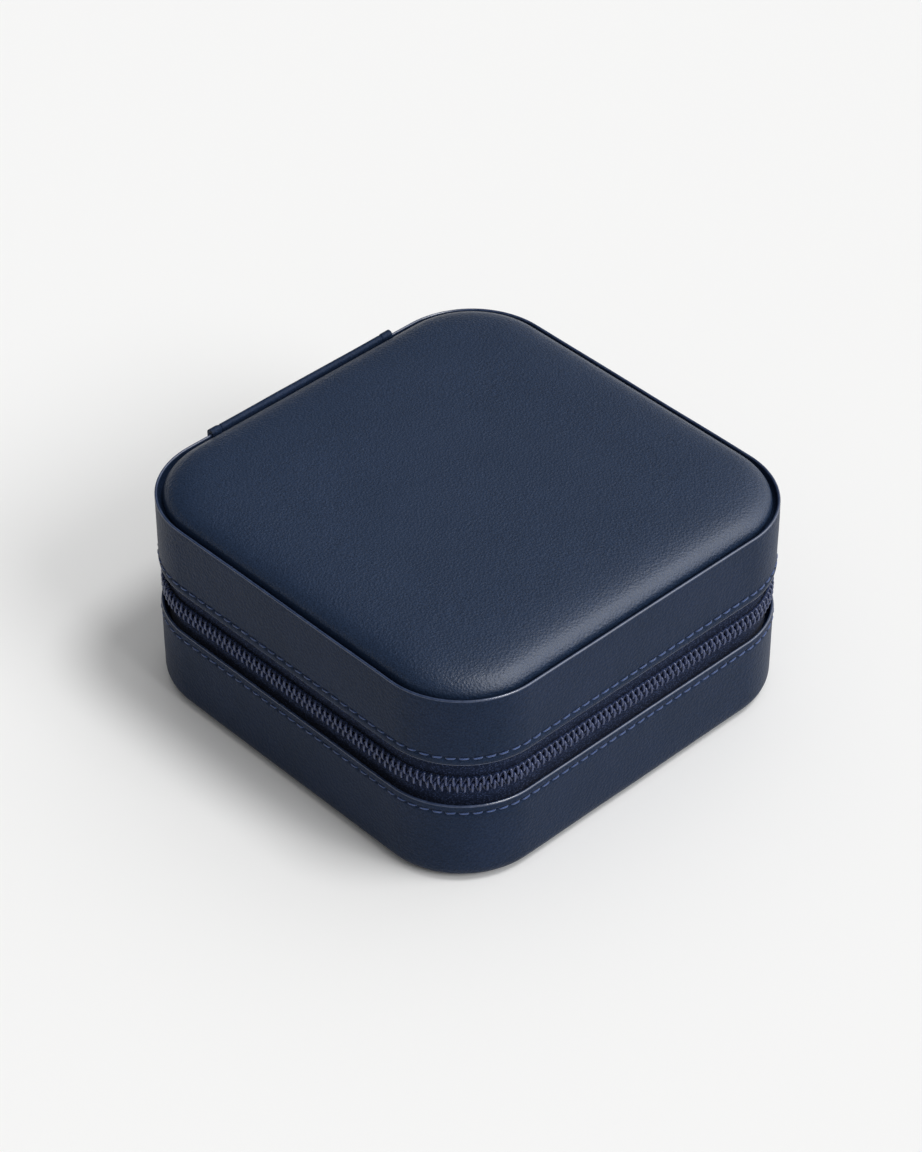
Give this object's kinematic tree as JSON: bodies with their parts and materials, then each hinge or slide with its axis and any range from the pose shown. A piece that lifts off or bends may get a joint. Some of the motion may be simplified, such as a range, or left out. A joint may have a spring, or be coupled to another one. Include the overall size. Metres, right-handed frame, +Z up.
{
  "type": "zipped jewellery case",
  "caption": "Small square zipped jewellery case with a padded hinged lid, a lined tray with ring rolls and dividers, a lid pocket and necklace straps.",
  "frame": {"origin": "middle of the underside of the base", "axes": "+Z up through the lid, -Y out of the front, away from the hinge, +X to the right"},
  "size_m": [0.1037, 0.1008, 0.0508],
  "materials": {
    "leather": "smooth fine-grained navy leather, semi-gloss",
    "thread": "twisted polyester thread",
    "zip_tape": "woven herringbone tape",
    "zip_nylon": "dyed nylon coil, semi-gloss",
    "board": "grey pulp board",
    "foam": "soft open-cell foam",
    "velvet": "short-pile velvet",
    "metal": "polished nickel plate"
  },
  "bodies": {
    "base": {"base_bottom_panel": "leather", "base_floor_board": "board", "base_wall_board": "board", "base_band": "leather", "base_seam_thread": "thread", "base_zip_tape": "zip_tape", "base_zip_teeth": "zip_nylon", "base_zip_stops": "metal", "hinge_strip_lower": "leather", "hinge_lining_lower": "velvet", "tray_floor_lining": "velvet", "tray_wall": "velvet", "ring_partition": "velvet", "ring_roll_1": "velvet", "ring_roll_2": "velvet", "ring_roll_3": "velvet", "ring_roll_4": "velvet"},
    "divider_front": {"divider_front": "velvet"},
    "divider_rear": {"divider_rear": "velvet"},
    "lid": {"lid_top_skin": "leather", "lid_foam": "foam", "lid_top_board": "board", "lid_wall_board": "board", "lid_band": "leather", "lid_seam_thread": "thread", "lid_zip_tape": "zip_tape", "lid_zip_teeth": "zip_nylon", "lid_zip_stops": "metal", "hinge_strip_upper": "leather", "hinge_lining_upper": "velvet", "lid_wall_lining": "velvet", "lid_panel": "velvet", "lid_pocket": "velvet", "pocket_elastic": "velvet", "strap_anchors": "leather", "strap_studs": "metal"},
    "strap_1": {"necklace_strap_1": "leather"},
    "strap_2": {"necklace_strap_2": "leather"},
    "strap_3": {"necklace_strap_3": "leather"},
    "slider": {"slider_body": "metal"},
    "pull": {"pull_tab": "metal"}
  },
  "joints": [
    {"name": "lid_hinge", "type": "hinge", "parent": "base", "child": "lid", "pos_m": [0, 0.0509, 0.0255], "axis": [-1, 0, 0], "range_deg": [0, 110]},
    {"name": "zip_slide", "type": "slide", "parent": "base", "child": "slider", "axis": [0, -1, 0], "range_m": [0, 0.051]},
    {"name": "pull_swing", "type": "hinge", "parent": "slider", "child": "pull", "pos_m": [0.0524, 0.024, 0.0255], "axis": [0, -1, 0], "range_deg": [0, 170]},
    {"name": "divider_front_lift", "type": "slide", "parent": "base", "child": "divider_front", "axis": [0, 0, 1], "range_m": [0, 0.012]},
    {"name": "divider_rear_lift", "type": "slide", "parent": "base", "child": "divider_rear", "axis": [0, 0, 1], "range_m": [0, 0.012]},
    {"name": "strap_1_swing", "type": "hinge", "parent": "lid", "child": "strap_1", "pos_m": [-0.024, -0.0385, 0.0398], "axis": [-1, 0, 0], "range_deg": [0, 85]},
    {"name": "strap_2_swing", "type": "hinge", "parent": "lid", "child": "strap_2", "pos_m": [0, -0.0385, 0.0398], "axis": [-1, 0, 0], "range_deg": [0, 85]},
    {"name": "strap_3_swing", "type": "hinge", "parent": "lid", "child": "strap_3", "pos_m": [0.024, -0.0385, 0.0398], "axis": [-1, 0, 0], "range_deg": [0, 85]}
  ]
}
